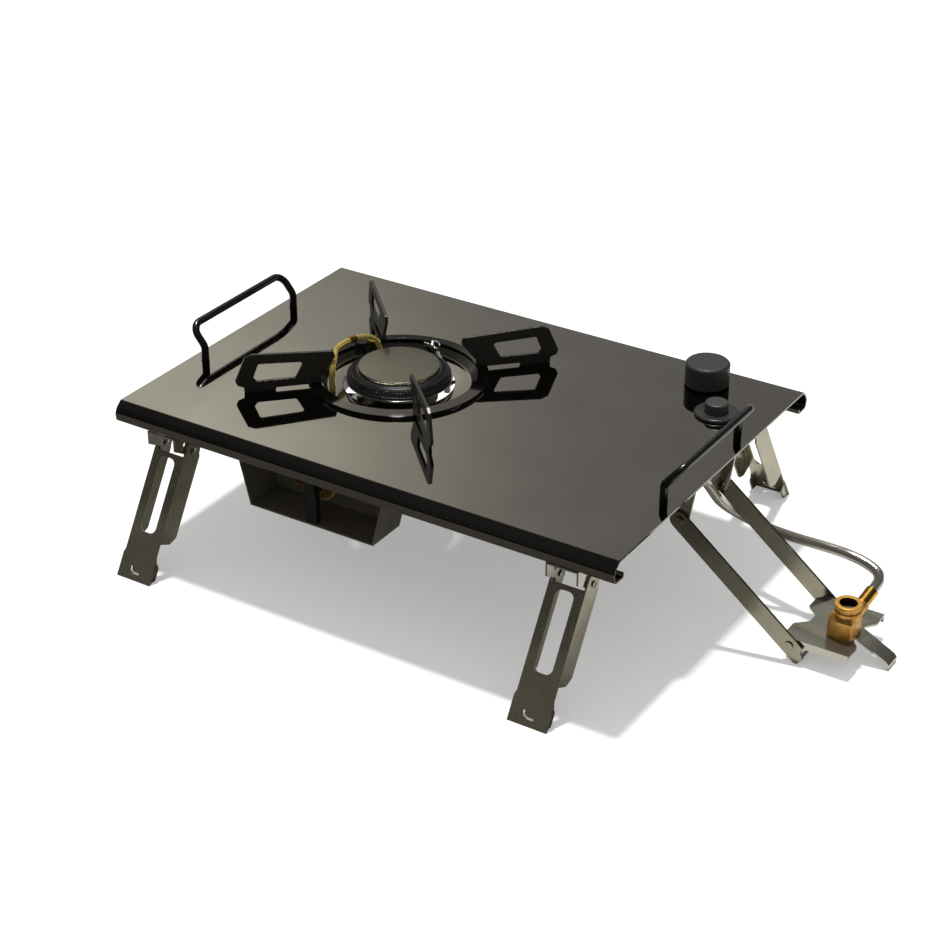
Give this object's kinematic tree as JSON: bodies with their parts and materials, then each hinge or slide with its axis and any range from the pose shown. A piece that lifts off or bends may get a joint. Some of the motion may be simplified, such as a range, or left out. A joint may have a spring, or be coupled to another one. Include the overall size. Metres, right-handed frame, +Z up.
{
  "type": "camping table stove with remote canister stand",
  "caption": "Flat folding camping table stove with a round burner, pan support, wire handles, folding legs and a fold-out stand with a hose for an upturned screw-on gas canister.",
  "frame": {"origin": "on the table, under the middle of the whole stove with its canister stand folded out", "axes": "+X from the burner towards the canister stand, +Y from the front edge (the air scoop side) to the back edge, +Z up"},
  "size_m": [0.4792, 0.3222, 0.128],
  "materials": {
    "deck_steel": "mirror-polished stainless sheet, slightly warm",
    "bowl_steel": "bright stainless dish, glossy",
    "bright_steel": "bright stainless",
    "plated_steel": "bright zinc plating",
    "arm_steel": "stainless strip, fine grain along the length",
    "leg_steel": "stainless sheet, satin",
    "bracket_steel": "stainless sheet, satin",
    "stand_steel": "stainless sheet, satin",
    "scoop_steel": "stainless sheet, dull inside",
    "ring_steel": "polished stainless sheet, smoky",
    "burner_black": "black heat-proof enamel",
    "burner_cap": "dark enamel, glossy",
    "cast_base": "cast aluminium",
    "bronze_tube": "bronze tube, dull",
    "brass": "turned brass",
    "block_brass": "turned brass, satin",
    "heated_brass": "brass tube, tinted by heat",
    "copper_pipe": "drawn copper-brass pipe",
    "ceramic": "white glazed ceramic",
    "lead_cover": "black silicone cover",
    "black_wire": "black lacquer on steel wire, glossy",
    "knob_plastic": "black moulded plastic, satin",
    "bezel_plastic": "black moulded plastic, glossy",
    "button_plastic": "dark grey moulded plastic",
    "seal_rubber": "black rubber",
    "braided_hose": "stainless wire braid over a rubber hose"
  },
  "bodies": {
    "stove": {"top_plate": "deck_steel", "drip_bowl": "bowl_steel", "burner_base": "cast_base", "burner_rim": "bright_steel", "burner_head": "burner_black", "burner_cap": "burner_cap", "mixing_tube": "bronze_tube", "jet_holder": "scoop_steel", "jet_pipe": "copper_pipe", "vaporiser_tube": "heated_brass", "vaporiser_fittings": "brass", "supply_pipe": "copper_pipe", "electrode_insulator": "ceramic", "igniter_electrode": "bright_steel", "igniter_lead": "lead_cover", "handle_left": "black_wire", "handle_right": "black_wire", "handle_nuts": "plated_steel", "gas_valve_body": "brass", "valve_nut": "plated_steel", "igniter_bezel": "bezel_plastic", "igniter_body": "bezel_plastic", "air_scoop": "scoop_steel", "scoop_rivets": "plated_steel", "leg_bracket_front_left": "bracket_steel", "leg_bracket_front_right": "bracket_steel", "leg_bracket_back_left": "bracket_steel", "leg_bracket_back_right": "bracket_steel", "leg_bracket_rivets": "plated_steel", "leg_pivot_rivets": "plated_steel", "stand_hinge_bracket": "bracket_steel", "stand_pivot_rivets": "plated_steel", "hose_nut": "brass", "fuel_hose": "braided_hose"},
    "pan_support": {"trivet_ring": "ring_steel", "pan_arm_front_right": "arm_steel", "pan_arm_back_right": "arm_steel", "pan_arm_back_left": "arm_steel", "pan_arm_front_left": "arm_steel"},
    "knob": {"control_knob": "knob_plastic", "valve_spindle": "brass"},
    "button": {"igniter_button": "button_plastic"},
    "front_left_leg": {"leg_front_left": "leg_steel"},
    "front_right_leg": {"leg_front_right": "leg_steel"},
    "back_left_leg": {"leg_back_left": "leg_steel"},
    "back_right_leg": {"leg_back_right": "leg_steel"},
    "stand": {"stand_arm_front": "stand_steel", "stand_arm_rear": "stand_steel", "bracket_pivot_rivets": "plated_steel"},
    "bracket": {"canister_bracket": "bracket_steel", "canister_valve_block": "block_brass", "canister_pin": "brass", "neck_seal": "seal_rubber", "hose_ferrule": "brass"}
  },
  "joints": [
    {"name": "fold_front_left_leg", "type": "hinge", "parent": "stove", "child": "front_left_leg", "pos_m": [-0.20384, -0.1083, 0.0725], "axis": [1, 0, 0], "range_deg": [0, 121.5]},
    {"name": "fold_front_right_leg", "type": "hinge", "parent": "stove", "child": "front_right_leg", "pos_m": [0.08716, -0.1083, 0.0725], "axis": [1, 0, 0], "range_deg": [0, 121.5]},
    {"name": "fold_back_left_leg", "type": "hinge", "parent": "stove", "child": "back_left_leg", "pos_m": [-0.20384, 0.1083, 0.0725], "axis": [-1, 0, 0], "range_deg": [0, 121.5]},
    {"name": "fold_back_right_leg", "type": "hinge", "parent": "stove", "child": "back_right_leg", "pos_m": [0.08716, 0.1083, 0.0725], "axis": [-1, 0, 0], "range_deg": [0, 121.5]},
    {"name": "turn_knob", "type": "hinge", "parent": "stove", "child": "knob", "pos_m": [0.06416, 0.0975, 0.1135], "axis": [0, 0, 1], "range_deg": [0, 300]},
    {"name": "press_igniter", "type": "slide", "parent": "stove", "child": "button", "axis": [0, 0, -1], "range_m": [0, 0.005], "stiffness_N_per_m": 600, "springref_m": -0.002},
    {"name": "lift_pan_support", "type": "slide", "parent": "stove", "child": "pan_support", "axis": [0, 0, 1], "range_m": [0, 0.04]},
    {"name": "swing_stand", "type": "hinge", "parent": "stove", "child": "stand", "pos_m": [0.10766, 0.008, 0.0731], "axis": [0, -1, 0], "range_deg": [-141, 38.9], "deforming": ["fuel_hose"]},
    {"name": "tilt_bracket", "type": "hinge", "parent": "stand", "child": "bracket", "pos_m": [0.18464, 0.008, 0.011], "axis": [0, -1, 0], "range_deg": [-39, 20], "deforming": ["fuel_hose"]}
  ]
}
